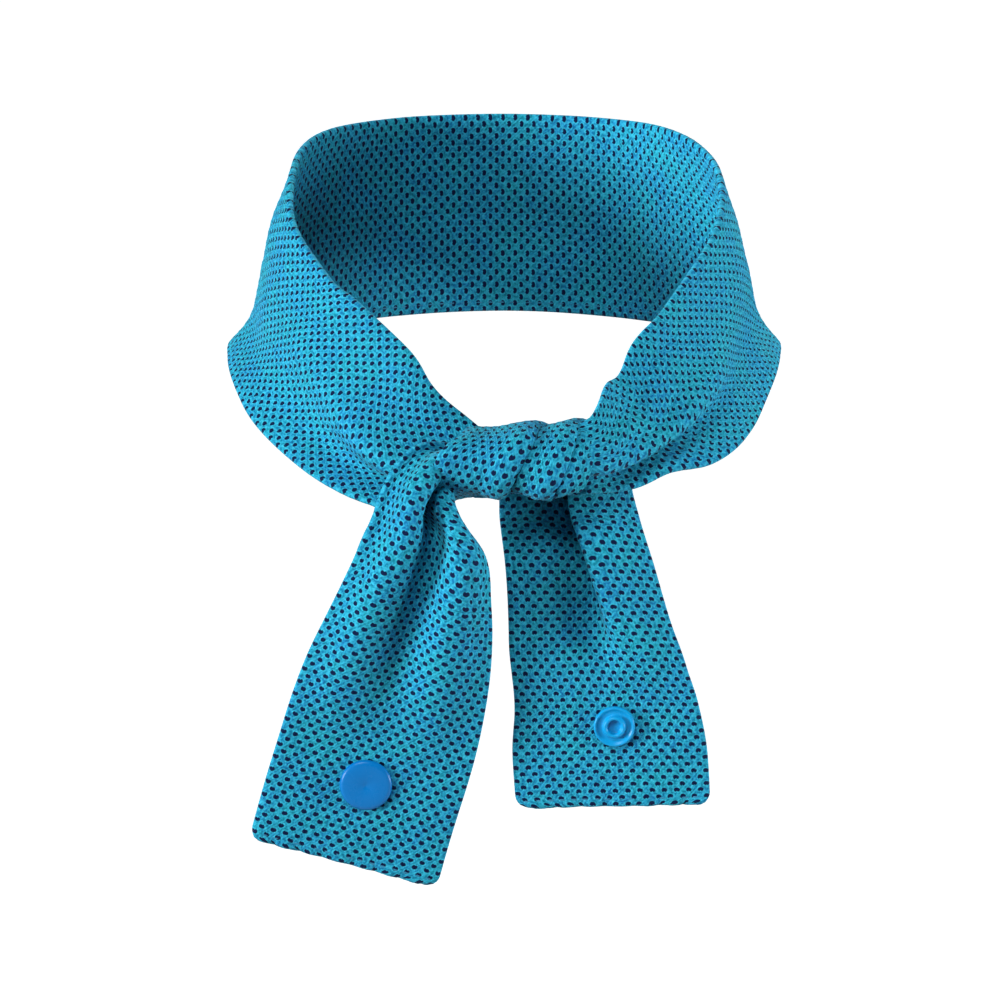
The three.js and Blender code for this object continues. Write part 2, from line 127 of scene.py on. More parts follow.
class SnapSettings(bpy.types.PropertyGroup):
    """Sizes and colours of the plastic snap halves."""

    cap_diameter: length_setting("Cap diameter", "Across a cap", 14 * MM)
    cap_thickness: length_setting("Cap thickness", "Height of a cap above the cloth", 1.6 * MM)
    post_diameter: length_setting("Spike diameter", "Across the spike through the cloth", 2.4 * MM)
    socket_diameter: length_setting("Socket diameter", "Across the socket", 11 * MM)
    stud_diameter: length_setting("Stud diameter", "Across the stud", 11 * MM)
    cap_colour: colour_setting("Cap colour", "Acetal of the caps", "0072bc")
    # Painted light: the same acetal as the caps, painted lighter for the light that the socket and stud catch
    lit_ring_colour: colour_setting("Ring colour", "Acetal of the thinner socket and stud", "0c9ad8")


class StageSettings(bpy.types.PropertyGroup):
    """Camera, lights and floor."""

    camera_elevation: FloatProperty(
        name="Camera elevation", description="Above the horizon", default=math.radians(12), subtype="ANGLE"
    )
    camera_distance: length_setting("Camera distance", "From the camera to the object's middle", 1.7)
    camera_lens: FloatProperty(
        name="Camera lens", description="Focal length in millimetres", default=220.1
    )
    target_height: length_setting("Target height", "Height that the camera looks at", -70.7 * MM)
    key_strength: FloatProperty(
        name="Key light", description="Strength of the broad light from the left", default=4.0
    )
    softness: FloatProperty(
        name="Softness", description="How wide the key and top lights look from the object",
        default=math.radians(20), subtype="ANGLE",
    )
    top_strength: FloatProperty(
        name="Top light", description="Strength of the light from above", default=1.45
    )
    fill_power: FloatProperty(
        name="Fill light", description="Power of the light from the right", default=19.0, unit="POWER"
    )
    back_power: FloatProperty(
        name="Back light", description="Power of the light behind the object", default=8.0, unit="POWER"
    )
    world_strength: FloatProperty(
        name="Sky strength", description="Brightness of the light from all round", default=0.1
    )
    floor_drop: length_setting("Floor drop", "From the lower hem down to the floor", 0.6)
    floor_reach: length_setting("Floor reach", "Size of the floor's grid", 14.0)
    floor_glow: FloatProperty(
        name="Floor glow", description="Light that the paper gives off by itself", default=0.64
    )
    lamp_size: length_setting("Lamp size", "Across the fill and back lights", 0.5)
    floor_colour: colour_setting("Floor colour", "Pale studio paper", "f2f4f4")


class NeckWrapSettings(bpy.types.PropertyGroup):
    """All settings of the neck wrap."""

    strip: PointerProperty(name="Strip", description="Sizes of the strip", type=StripSettings)
    mesh: PointerProperty(name="Mesh", description="The eyelet mesh", type=MeshSettings)
    snap: PointerProperty(name="Snaps", description="The snap halves", type=SnapSettings)
    stage: PointerProperty(name="Stage", description="Camera, lights and floor", type=StageSettings)


# Sections across the strip, in order from the left tab's hem to the right tab's hem.
# x, y, z: the section's middle. ax, ay, az: the way from the strip's lower edge to its upper edge.
# wide: 0 for the tabs' width, 1 for the band's, and less than 0 where the knot squeezes it.
# bow: degrees that the section curves from edge to edge.
# wave, waves, valley: swing of the gathers in degrees, how many there are, and the share where one dips.
# low, low_turn, high, high_turn: two folds, each at a share of the width, with its turn in degrees.
COLUMNS = (
    "x", "y", "z", "ax", "ay", "az", "wide", "bow",
    "wave", "waves", "valley", "low", "low_turn", "high", "high_turn",
)
# Left tail, as shares of the tabs' width from the knot's middle
LEFT_TAIL = (
    (-0.925, -0.11, -2.08, -0.963, 0, 0.27, 0, 0, 0, 2, 0, -0.25, 0, 0.25, 0),
    (-0.84, -0.13, -1.77, -0.963, 0, 0.27, 0, 0, 0, 2, 0, -0.25, 0, 0.25, 0),
    (-0.75, -0.15, -1.47, -0.963, 0, 0.27, 0, 0, 4, 2, 0, -0.25, 0, 0.25, 0),
    (-0.66, -0.17, -1.15, -0.963, 0, 0.27, 0, 0, 22, 2, 0, -0.25, 0, 0.25, 0),
    (-0.575, -0.18, -0.85, -0.963, 0, 0.27, 0, 0, 43, 2, 0, -0.25, 0, 0.25, 0),
    (-0.52, -0.19, -0.6, -0.963, 0, 0.27, 0, 0, 60, 2, -0.02, -0.25, 0, 0.25, 0),
    (-0.495, -0.19, -0.38, -0.97, 0, 0.24, -0.2, 0, 74, 2, -0.05, -0.25, 0, 0.25, 0),
    (-0.535, -0.16, -0.19, -0.95, 0, 0.31, -1, 0, 98, 1.75, -0.1, -0.25, 0, 0.25, 0),
)
# Right strand through the knot, as shares of the knot's height from its middle
INNER_STRAND = (
    (-1.17, -0.16, -0.08, -0.6, 0.1, 0.8, -3, 0, 104, 1.6, -0.14, -0.25, 0, 0.25, 0),
    (-0.78, 0.14, -0.1, -0.15, 0, 1, -3.8, 0, 106, 1.7, -0.1, -0.25, 0, 0.25, 0),
    (-0.3, 0.15, -0.08, 0, 0, 1, -3.2, 0, 104, 2, -0.05, -0.25, 0, 0.25, 0),
    (0.1, 0.15, -0.06, 0, 0, 1, -3.2, 0, 104, 2, 0, -0.2, 0, 0.2, 0),
    (0.48, 0.2, -0.04, 0.05, 0, 1, -4.4, -70, 30, 2, 0, -0.2, 120, 0.05, -120),
    (0.86, -0.05, 0.1, 0.02, 0.1, 0.97, -3.6, 0, 10, 2, 0, -0.21, 155, 0.05, -155),
)
# Round the neck, x as shares of half the neck's width, y of half its depth and z of the band's width
NECK_LOOP = (
    (0.53, -1.13, -0.675, -0.27, 0.22, 0.87, -1, 20, 4, 2, 0, -0.205, 158, 0.03, -158),
    (0.645, -1.02, -0.635, -0.47, 0.15, 0.84, -0.5, 20, 0, 2, 0, -0.185, 155, 0.05, -155),
    (0.767, -0.895, -0.572, -0.57, 0.03, 0.82, -0.6, 15, 0, 2, 0, -0.175, 140, -0.03, -140),
    (0.905, -0.71, -0.478, -0.58, -0.2, 0.79, -1.1, 10, 0, 2, 0, -0.19, 90, -0.06, -85),
    (1.01, -0.5, -0.36, -0.507, -0.32, 0.8, -1, 5, 0, 2, 0, -0.22, 50, -0.02, -35),
    (1.135, -0.137, -0.18, -0.37, -0.36, 0.858, -0.6, 0, 0, 2, 0, -0.3, 35, 0.2, -8),
    (1.12, 0.18, -0.06, -0.3, -0.15, 0.94, 0.2, 0, 0, 2, 0, -0.3, 25, 0.2, -8),
    (0.88, 0.5, 0, -0.11, -0.02, 1, 0.9, 0, 0, 2, 0, -0.25, 5, 0.25, -5),
    (0.5, 0.87, 0, 0, 0, 1, 1, 0, 0, 2, 0, -0.25, 0, 0.25, 0),
    (0, 1.01, 0, 0, 0, 1, 1, 0, 0, 2, 0, -0.25, 0, 0.25, 0),
    (-0.5, 0.87, 0, 0, 0, 1, 1, 0, 0, 2, 0, -0.25, 0, 0.25, 0),
    (-0.88, 0.5, 0, 0.11, -0.02, 1, 0.9, 0, 0, 2, 0, -0.25, 5, 0.25, -5),
    (-1.085, 0.18, -0.06, 0.3, -0.15, 0.94, 0.2, 0, 0, 2, 0, -0.3, 25, 0.2, -8),
    (-1.092, -0.147, -0.183, 0.406, -0.36, 0.832, -0.6, 0, 0, 2, 0, -0.3, 35, 0.2, -8),
    (-0.98, -0.49, -0.327, 0.574, -0.35, 0.742, -1, 5, 0, 2, 0, -0.27, 30, 0.1, -15),
    (-0.87, -0.688, -0.421, 0.6, -0.16, 0.78, -0.95, 10, 0, 2, 0, -0.25, 40, 0.05, -30),
    (-0.668, -0.9, -0.577, 0.7, -0.05, 0.715, -0.95, 15, 0, 2, 0, -0.25, 70, -0.05, -65),
    (-0.51, -1.048, -0.7, 0.645, 0.15, 0.747, -1.3, 20, 0, 2, 0, -0.25, 110, -0.05, -105),
)
# Left strand round the knot, as shares of the knot's height from its middle
OUTER_STRAND = (
    (-1.36, 0.425, -0.05, 0.59, 0.287, 0.76, -1.7, 20, 0, 2, 0.1, -0.25, 130, -0.05, -125),
    (-0.99, 0.44, -0.35, 0.72, 0.1, 0.66, -2.8, 10, 0, 2, 0.1, -0.25, 90, -0.05, -90),
    (-0.55, 0.33, -0.38, 0.93, 0.1, 0.3, -3, 0, -8, 2.5, 0.1, -0.2, 50, 0, -50),
    (-0.27, -0.02, -0.34, 0.99, 0, 0.08, -3.2, 8, -8, 2.5, 0.1, -0.1, 20, 0.1, -20),
    (-0.23, -0.4, -0.22, 0.98, 0, -0.08, -2.4, 22, -12, 2.5, 0.1, 0, 10, 0.15, -10),
    (-0.13, -0.5, 0.03, 0.96, 0.03, -0.2, -2.2, 26, -14, 2.5, 0.1, 0, 10, 0.15, -10),
    (0.04, -0.34, 0.27, 0.97, -0.03, -0.15, -3, 25, -12, 2.5, 0.1, 0, 10, 0.15, -10),
    (0.14, 0, 0.42, 0.99, -0.05, -0.02, -3.3, 14, -10, 2.5, 0.1, 0, 0, 0.15, 0),
    (0.325, 0.375, 0.3, 0.98, 0, 0.1, -3, 10, -10, 2.5, 0.1, 0, 20, 0.15, -20),
    (0.45, 0.575, -0.03, 1, 0, 0, -2, 0, 0, 2, 0.1, -0.02, 80, 0.13, -80),
    (0.55, 0.5, -0.405, 1, 0, 0, -1, 0, 10, 2, 0, -0.02, 140, 0.13, -140),
)
# Right tail, as shares of the tabs' width from the knot's middle
RIGHT_TAIL = (
    (0.24, 0.15, -0.33, 1, 0, 0, -0.2, 0, 20, 2, 0, -0.02, 145, 0.12, -145),
    (0.29, 0.05, -0.55, 1, 0, 0, -0.2, 0, 18, 2, 0, 0, 125, 0.14, -125),
    (0.343, 0, -0.85, 1, 0, 0, -0.5, 0, 14, 2, 0, 0, 82, 0.16, -82),
    (0.387, -0.04, -1.06, 1, 0, 0, -0.9, 0, 6, 2, 0, 0, 23, 0.2, -23),
    (0.427, -0.037, -1.26, 1, 0, 0.02, -0.6, 0, 0, 2, 0, 0, 2, 0.2, -2),
    (0.445, -0.034, -1.5, 1, 0, 0.02, 0, 0, 0, 2, 0, 0, 0, 0.2, 0),
    (0.465, -0.03, -1.8, 1, 0, 0.02, 0, 0, 0, 2, 0, 0, 0, 0.2, 0),
)
KNOT_SHARES = (0.1, -1.25, -0.77)  # the knot's middle, in the neck loop's shares
TIGHT_BEND = 4.2 * MM  # cloth used up by a fold of half a turn
SOFT_BEND = 0.3  # share of the width used up by a gentle bend
STEPS_A_ROW = 24  # steps along the strip that its length is summed over
SECTION_CELLS = 240  # steps of the sum that lays out a section
HEADING_STEP = 0.02  # rows ahead and behind that give the way the strip runs
DENSE_STEP = 0.5 * MM  # between the sections that the cloth's rows are laid on
EVEN_REACH = 14 * MM  # how far along the strip an uneven stretch is spread
SEAM_FADE = 12 * MM  # how far from a hem or a cross seam the rows bend away from the sections


class Strip:
    """The strip's middle surface, worked out from its sizes and the tables of sections."""

    def __init__(self, sizes):
        self.sizes = sizes
        neck = np.array((sizes.neck_width / 2, sizes.neck_depth / 2, sizes.band_width))
        knot = neck * KNOT_SHARES
        rows = []
        for table, middle, unit in (
            (LEFT_TAIL, knot, sizes.tab_width),
            (INNER_STRAND, knot, sizes.knot_height),
            (NECK_LOOP, np.zeros(3), neck),
            (OUTER_STRAND, knot, sizes.knot_height),
            (RIGHT_TAIL, knot, sizes.tab_width),
        ):
            placed = np.array(table, float)
            placed[:, :3] = middle + placed[:, :3] * unit
            rows.append(placed)
        self.rows = np.vstack(rows)
        self.steps = np.arange((len(self.rows) - 1) * STEPS_A_ROW + 1) / STEPS_A_ROW
        middles = self.between(self.steps)[:, :3]
        lengths = np.linalg.norm(np.diff(middles, axis=0), axis=1)
        self.lengths = np.concatenate(((0.0,), np.cumsum(lengths)))
        self.length = self.lengths[-1]

    def between(self, t):
        """All columns at places between rows: a cubic through the two rows on either side."""
        t = np.asarray(t, float)
        last = len(self.rows) - 1
        i = np.clip(np.floor(t).astype(int), 0, last - 1)
        f = (t - i)[..., None]
        a, b = self.rows[np.maximum(i - 1, 0)], self.rows[i]
        c, d = self.rows[i + 1], self.rows[np.minimum(i + 2, last)]
        slope_b, slope_c, rise = (c - a) / 2, (d - b) / 2, c - b
        square, cube = 3 * rise - 2 * slope_b - slope_c, slope_b + slope_c - 2 * rise
        return b + f * (slope_b + f * (square + f * cube))

    def row_at(self, length):
        """The place between rows at a length along the strip."""
        return np.interp(length, self.lengths, self.steps)

    def frame_at(self, t):
        """The strip's middle, the way across it to its upper edge, and the way its outer face looks."""
        last = len(self.rows) - 1
        row = self.between(t)
        across = row[..., 3:6] / np.linalg.norm(row[..., 3:6], axis=-1, keepdims=True)
        ahead = self.between(np.minimum(t + HEADING_STEP, last))[..., :3]
        behind = self.between(np.maximum(t - HEADING_STEP, 0))[..., :3]
        outward = np.cross(ahead - behind, across)
        outward /= np.linalg.norm(outward, axis=-1, keepdims=True)
        return row[..., :3], across, outward

    def width_at(self, lengths):
        """The strip's width from edge to edge, measured along the cloth."""
        wide = self.between(self.row_at(lengths))[..., COLUMNS.index("wide")]
        return self.sizes.tab_width + wide * (self.sizes.band_width - self.sizes.tab_width)

    def surface(self, lengths, shares):
        """Points of the middle surface: one row for each length, with a point for each share of the width.

        Where the strip turns, its outer edge has further to go than its middle. The cloth gives way along
        itself there, so each column's rows are evened out over a short reach.
        """
        dense = np.linspace(0, self.length, round(self.length / DENSE_STEP) + 1)
        grid = self.sections(dense, shares)
        run = np.cumsum(np.linalg.norm(np.diff(grid, axis=0, prepend=grid[:1]), axis=2), axis=0)
        extra = run - dense[:, None]
        half = round(3 * EVEN_REACH / DENSE_STEP)
        weights = np.exp(-0.5 * (np.arange(-half, half + 1) * DENSE_STEP / EVEN_REACH) ** 2)
        padded = np.pad(extra, ((half, half), (0, 0)), mode="edge")
        weights /= weights.sum()
        even = np.stack([np.convolve(column, weights, "valid") for column in padded.T], axis=1)
        tab = self.sizes.tab_length
        seams = np.array((0, tab, self.length - tab, self.length))
        away = np.clip(np.abs(dense[:, None] - seams).min(axis=1) / SEAM_FADE, 0, 1)[:, None]
        even = dense[:, None] + extra + (even - extra) * away * away * (3 - 2 * away)
        points = np.empty((len(lengths), len(shares), 3))
        for j in range(len(shares)):
            place = np.interp(lengths, dense, even[:, j])
            for k in range(3):
                points[:, j, k] = np.interp(place, run[:, j], grid[:, j, k])
        return points

    def sections(self, lengths, shares):
        """The sections as the tables lay them out, a row for each length."""
        t = self.row_at(lengths)
        middle, across, outward = self.frame_at(t)
        row = dict(zip(COLUMNS, self.between(t).T[:, :, None]))
        width = self.width_at(lengths)[:, None]
        s = ((np.arange(SECTION_CELLS) + 0.5) / SECTION_CELLS - 0.5)[None, :]
        heading = row["bow"] * s + row["wave"] * np.sin(2 * np.pi * row["waves"] * (s - row["valley"]))
        for place, turn in (("low", "low_turn"), ("high", "high_turn")):
            tight = np.minimum(np.abs(row[turn]) / 180, 1)
            bend = SOFT_BEND + (TIGHT_BEND / width - SOFT_BEND) * tight
            x = np.clip((s - row[place]) / bend + 0.5, 0, 1)
            heading = heading + row[turn] * x * x * (3 - 2 * x)
        angle = np.radians(heading)
        steps = np.stack((np.cos(angle), np.sin(angle)), -1) * (width / SECTION_CELLS)[..., None]
        path = np.concatenate((np.zeros((len(t), 1, 2)), np.cumsum(steps, axis=1)), axis=1)
        chord = path[:, -1]
        along = chord / np.linalg.norm(chord, axis=1, keepdims=True)
        path = path - chord[:, None] / 2
        from_hem = np.minimum(lengths, self.length - lengths)
        corner = self.sizes.tab_corner
        inside = np.maximum(0, corner - from_hem)
        share = 1 - 2 * (corner - np.sqrt(np.maximum(corner**2 - inside**2, 0))) / width[:, 0]
        place = np.clip((shares[None, :] * share[:, None] + 0.5) * SECTION_CELLS, 0, SECTION_CELLS)
        i = np.minimum(place.astype(int), SECTION_CELLS - 1)
        f = (place - i)[..., None]
        rows = np.arange(len(t))[:, None]
        flat = path[rows, i] * (1 - f) + path[rows, i + 1] * f
        x = flat[..., 0] * along[:, :1] + flat[..., 1] * along[:, 1:]
        y = flat[..., 1] * along[:, :1] - flat[..., 0] * along[:, 1:]
        return middle[:, None] + across[:, None] * x[..., None] + outward[:, None] * y[..., None]


def rounding(distance, radius):
    """How thick an edge is, as a share of the full thickness, at a distance in from it."""
    x = np.clip(distance / radius, 0, 1)
    return np.sqrt(1 - (1 - x) ** 2)


def add_node(tree, kind, inputs=(), **settings):
    """Adds a node. Inputs go by position or name, and each is a value, a socket or a node to link."""
    node = tree.nodes.new(kind)
    for name, value in settings.items():
        setattr(node, name, value)
    for key, value in inputs.items() if isinstance(inputs, dict) else enumerate(inputs):
        if isinstance(value, bpy.types.Node):
            tree.links.new(value.outputs[0], node.inputs[key])
        elif isinstance(value, bpy.types.NodeSocket):
            tree.links.new(value, node.inputs[key])
        elif value is not None:
            node.inputs[key].default_value = value
    return node


def new_material(name):
    """An empty node material and its tree."""
    material = bpy.data.materials.new(name)
    material.use_nodes = True
    material.node_tree.nodes.clear()
    return material, material.node_tree


MIX_FROM, MIX_TO, MIX_RESULT = 6, 7, 2  # a Mix node's two colour inputs and its colour output
EYELET_WANDER = 2.25 * MM  # over what length an eyelet strays from its row
EYELET_STRAY = 0.22  # how far it strays, in cells
DYE_BLOTCH = 12.86 * MM  # across a blotch where the dye took more
SPECKLE = 1.059 * MM  # across a speckle of painted highlight or painted shade on the yarn
FIBRE = 0.3 * MM  # from fibre to fibre
KNIT_RELIEF = 0.35 * MM  # depth of the ribs and fibres
FLOW_MARK = 3.846 * MM  # from one flow mark in the plastic to the next
THREAD_TWIST = 0.4 * MM  # from one turn of the thread's plies to the next


def eyelet_cell(tree, weave):
    """Where a point lies in its eyelet's cell: along and across the strip from its middle, in cells."""
    cell = add_node(tree, "ShaderNodeSeparateXYZ", [weave])
    column = add_node(tree, "ShaderNodeMath", [cell.outputs["X"]], operation="FLOOR")
    along = add_node(tree, "ShaderNodeMath", [cell.outputs["X"], column], operation="SUBTRACT")
    along = add_node(tree, "ShaderNodeMath", [along, 0.5], operation="SUBTRACT")
    stagger = add_node(tree, "ShaderNodeMath", [cell.outputs["Y"], column], operation="ADD")
    stagger = add_node(tree, "ShaderNodeMath", [stagger, 0.5, 0.25], operation="MULTIPLY_ADD")
    across = add_node(tree, "ShaderNodeMath", [stagger], operation="FRACT")
    across = add_node(tree, "ShaderNodeMath", [across, 0.5], operation="SUBTRACT")
    return along, across


def oval_distance(tree, along, across, centre, half_along, half_across):
    """Distance from a spot in an eyelet's cell, 1 on the rim of an oval of that size; sizes in cells."""
    x = add_node(tree, "ShaderNodeMath", [along, centre], operation="SUBTRACT")
    x = add_node(tree, "ShaderNodeMath", [x, half_along], operation="DIVIDE")
    y = add_node(tree, "ShaderNodeMath", [across, half_across / 2], operation="DIVIDE")
    spot = add_node(tree, "ShaderNodeCombineXYZ", [x, y])
    return add_node(tree, "ShaderNodeVectorMath", [spot], operation="LENGTH").outputs["Value"]


def eyelet_mesh_cloth(mesh):
    """Two-layer polyester air mesh, warp-knitted: matte yarn with a soft sheen and staggered eyelets, the
    eyelets painted dark as shade and the yarn flecked with painted highlight and painted shade.
    """
    material, tree = new_material("polyester_eyelet_mesh")
    weave = add_node(tree, "ShaderNodeUVMap", uv_map="weave")
    wander = add_node(
        tree, "ShaderNodeTexNoise", {"Vector": weave, "Scale": mesh.row_pitch / EYELET_WANDER, "Detail": 2.0}
    )
    centred = add_node(
        tree, "ShaderNodeVectorMath", [wander.outputs["Color"], (0.5, 0.5, 0.5)], operation="SUBTRACT"
    )
    shift = add_node(tree, "ShaderNodeVectorMath", {0: centred, "Scale": EYELET_STRAY}, operation="SCALE")
    uneven = add_node(tree, "ShaderNodeVectorMath", [weave, shift], operation="ADD")
    along, across = eyelet_cell(tree, uneven)
    oval = oval_distance(tree, along, across, -0.02, 0.35, 0.48)
    notch = oval_distance(tree, along, across, 0.36, 0.17, 0.17)
    # An eyelet is an oval with a loop of yarn across one end, painted dark for the shade inside it; the yarn
    # round it is stretched, and is painted lighter as a highlight
    hole = add_node(
        tree, "ShaderNodeMapRange", [oval, 1.12, 0.86, 0.0, 1.0], interpolation_type="SMOOTHSTEP"
    )
    filled = add_node(
        tree, "ShaderNodeMapRange", [notch, 0.75, 1.1, 0.0, 1.0], interpolation_type="SMOOTHSTEP"
    )
    hole = add_node(tree, "ShaderNodeMath", [hole, filled], operation="MULTIPLY")
    rim = add_node(
        tree, "ShaderNodeMapRange", [oval, 1.75, 1.15, 0.0, 1.0], interpolation_type="SMOOTHSTEP"
    )
    dye = add_node(
        tree, "ShaderNodeTexNoise",
        {"Vector": weave, "Scale": mesh.row_pitch / DYE_BLOTCH, "Detail": 5.0, "Roughness": 0.75},
    )
    dye = add_node(tree, "ShaderNodeMapRange", [dye, 0.4, 0.6, 0.0, 1.0])
    speckle = add_node(
        tree, "ShaderNodeTexNoise",
        {"Vector": weave, "Scale": mesh.row_pitch / SPECKLE, "Detail": 4.0, "Roughness": 0.6},
    )
    # Painted highlight: bright speckles of whiter yarn that stand in for glints of sheen
    bright_highlight = add_node(tree, "ShaderNodeMapRange", [speckle, 0.42, 0.66, 0.0, 0.85])
    # Painted shade: dull speckles of darker yarn, for the shade on yarn lying lower in the knit
    dull_shade = add_node(tree, "ShaderNodeMapRange", [speckle, 0.5, 0.34, 0.0, 0.6])
    # Share of painted highlight: the rim round each eyelet plus the bright speckles
    light = add_node(tree, "ShaderNodeMath", [rim, 0.35, bright_highlight], operation="MULTIPLY_ADD", use_clamp=True)
    surface = mesh.cloth_colour
    # The yarn's own colour and dye blotches, then painted shade speckles, painted highlight and the eyelets'
    # painted shade, in that order
    for share, tint in (
        (dye, mesh.shade_colour), (dull_shade, mesh.deep_shade_colour), (light, mesh.rim_highlight_colour), (hole, mesh.hole_shade_colour)
    ):
        mixed = add_node(
            tree, "ShaderNodeMix", {"Factor": share, MIX_FROM: surface, MIX_TO: tint}, data_type="RGBA"
        )
        surface = mixed.outputs[MIX_RESULT]
    # Knit ribs: the real ones are about 0.3 mm apart and too fine to show, so these are about 0.8 mm apart
    ribs = add_node(
        tree, "ShaderNodeTexWave", {"Vector": weave, "Scale": 1.0, "Distortion": 1.5, "Detail": 2.0},
        bands_direction="DIAGONAL",
    )
    fibre = add_node(
        tree, "ShaderNodeTexNoise", {"Vector": weave, "Scale": mesh.row_pitch / FIBRE, "Detail": 4.0}
    )
    height = add_node(tree, "ShaderNodeMath", [ribs.outputs["Fac"], 0.35, fibre], operation="MULTIPLY_ADD")
    height = add_node(tree, "ShaderNodeMath", [hole, -1.6, height], operation="MULTIPLY_ADD")
    bump = add_node(tree, "ShaderNodeBump", {"Strength": 0.55, "Distance": KNIT_RELIEF, "Height": height})
    shader = add_node(
        tree, "ShaderNodeBsdfPrincipled",
        {
            "Base Color": surface,
            "Roughness": 0.75,
            "Specular IOR Level": 0.1,
            "Sheen Weight": 0.18,
            "Sheen Roughness": 0.35,
            "Sheen Tint": colour("a8ecf6"),
            "Normal": bump,
        },
    )
    add_node(tree, "ShaderNodeOutputMaterial", [shader])
    return material


def moulded_acetal(name, base):
    """Snap fasteners of injection-moulded acetal: glossy, a little waxy, with faint flow marks."""
    material, tree = new_material(name)
    place = add_node(tree, "ShaderNodeTexCoord")
    flow = add_node(
        tree, "ShaderNodeTexNoise", {"Vector": place.outputs["Object"], "Scale": 1 / FLOW_MARK, "Detail": 3.0}
    )
    rough = add_node(tree, "ShaderNodeMapRange", [flow, 0.3, 0.7, 0.22, 0.32])
    bump = add_node(tree, "ShaderNodeBump", {"Strength": 0.12, "Distance": 0.05 * MM, "Height": flow})
    shader = add_node(
        tree, "ShaderNodeBsdfPrincipled",
        {
            "Base Color": base,
            "Roughness": rough,
            "IOR": 1.48,
            "Specular IOR Level": 0.22,
            "Normal": bump,
        },
    )
    add_node(tree, "ShaderNodeOutputMaterial", [shader])
    return material


def sewing_thread():
    """Spun polyester sewing thread in the cloth's colour: matte, twisted."""
    material, tree = new_material("polyester_sewing_thread")
    place = add_node(tree, "ShaderNodeTexCoord")
    twist = add_node(
        tree, "ShaderNodeTexNoise", {"Vector": place.outputs["Object"], "Scale": 1 / THREAD_TWIST}
    )
    tint = add_node(
        tree, "ShaderNodeMix",
        {"Factor": twist, MIX_FROM: colour("066c94"), MIX_TO: colour("0c86b0")}, data_type="RGBA",
    )
    shader = add_node(
        tree, "ShaderNodeBsdfPrincipled",
        {"Base Color": tint.outputs[MIX_RESULT], "Roughness": 0.7, "Sheen Weight": 0.2},
    )
    add_node(tree, "ShaderNodeOutputMaterial", [shader])
    return material


def studio_paper(stage):
    """Plain pale background paper: matte, with a little light of its own so that it shows white."""
    material, tree = new_material("studio_paper")
    shader = add_node(
        tree, "ShaderNodeBsdfPrincipled",
        {
            "Base Color": stage.floor_colour,
            "Roughness": 0.9,
            "Emission Color": stage.floor_colour,
            "Emission Strength": stage.floor_glow,
        },
    )
    add_node(tree, "ShaderNodeOutputMaterial", [shader])
    return material


def finished(name, bm, material, node):
    """A bmesh as a piece that rides with the part and stands for a node of the solid model."""
    data = bpy.data.meshes.new(name)
    bm.to_mesh(data)
    bm.free()
    piece = bpy.data.objects.new(name, data)
    bpy.context.scene.collection.objects.link(piece)
    data.materials.append(material)
    data.shade_smooth()
    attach(piece, "root")
    if node:
        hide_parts(node)
    return piece


CELLS_ALONG = 2  # mesh cells in an eyelet's cell, along the strip
CELLS_ACROSS = 2  # and across it
END_ROWS = (0.06 * MM, 0.3 * MM)  # rows close to both ends of a piece, to round them
EDGE_SHARES = (0.0, 0.12, 0.45)  # where the outermost cell's columns lie, to round the folded edge
PUCKER_LENGTH = 7.5 * MM  # from one pucker of a hem to the next
PUCKER_RISE = 0.35 * MM
PUCKER_REACH = 7 * MM  # how far in from the hem the puckers fade
SEAM_ROUND = 0.06 * MM  # rounding where two pieces meet at a cross seam
EDGE_SEAM = 1.7 * MM  # from a folded long edge to the seam that holds it flat
EDGE_GROOVE = 0.3 * MM
EDGE_GROOVE_REACH = 0.45 * MM
WRINKLE = 0.7 * MM  # how far the soft unevenness of the cloth swings
WRINKLE_ALONG = 22 * MM
WRINKLE_ACROSS = 13 * MM
GATHER = 1.1 * MM  # how far the gathers that run into the knot swing
GATHER_ALONG = 45 * MM
GATHER_ACROSS = 7.5 * MM
GATHER_REACH = 42 * MM  # how far from the knot they fade
KNOT_PLACES = (0.185, 0.79)  # where the strip goes through the knot, as shares of its length
SNAP_FLAT = 8 * MM  # how far round a snap the cloth stays flat
RELIEF_FADE = 1.2 * MM  # how far in from the edges the eyelets' relief fades
NEARLY_NOTHING = 1e-12  # keeps a normal of no length from being divided by zero

# Creases pressed into the cloth. start, end: shares of the strip's length. from_share, to_share: where
# the line starts and ends across it. depth, reach: in mm, above 0 for a valley in the outer face and
# below 0 for a ridge.
CREASES = (
    (0.79, 0.87, 0.01, 0.085, -1.8, 1.1),
    (0.79, 0.87, -0.06, 0.01, 0.7, 3.0),
    (0.79, 0.875, 0.27, 0.4, -1.5, 1.0),
    (0.79, 0.875, 0.18, 0.31, 0.5, 2.5),
    (0.8, 0.85, -0.2, -0.1, -0.4, 2.0),
    (0.09, 0.158, -0.37, -0.27, 1.0, 1.1),
    (0.1, 0.16, 0.2, 0.3, 0.6, 1.6),
    (0.205, 0.3, 0.28, 0.38, 0.5, 1.6),
    (0.205, 0.27, 0.12, 0.3, -0.5, 2.2),
    (0.21, 0.3, 0.16, 0.1, 0.6, 1.6),
    (0.885, 0.96, 0.28, 0.2, 0.6, 2.5),
    (0.885, 0.94, -0.2, -0.12, 0.5, 2.5),
    (0.34, 0.66, 0.0, 0.0, -0.3, 0.6),
)


def face_normals(points):
    """The way the outer face looks at each point of a grid."""
    normal = np.cross(np.gradient(points, axis=0), np.gradient(points, axis=1))
    return normal / (np.linalg.norm(normal, axis=2, keepdims=True) + NEARLY_NOTHING)


def crease_rise(along, across, width):
    """How far the pressed creases lift the cloth's middle."""
    rise = np.zeros(across.shape)
    for start, end, from_share, to_share, depth, reach in CREASES:
        t = np.clip((along - start) / (end - start), 0, 1)
        away = np.abs(across - (from_share + (to_share - from_share) * t) * width)
        rise -= depth * MM * np.sqrt(np.sin(np.pi * t)) * np.exp(-away / (reach * MM))
    return rise


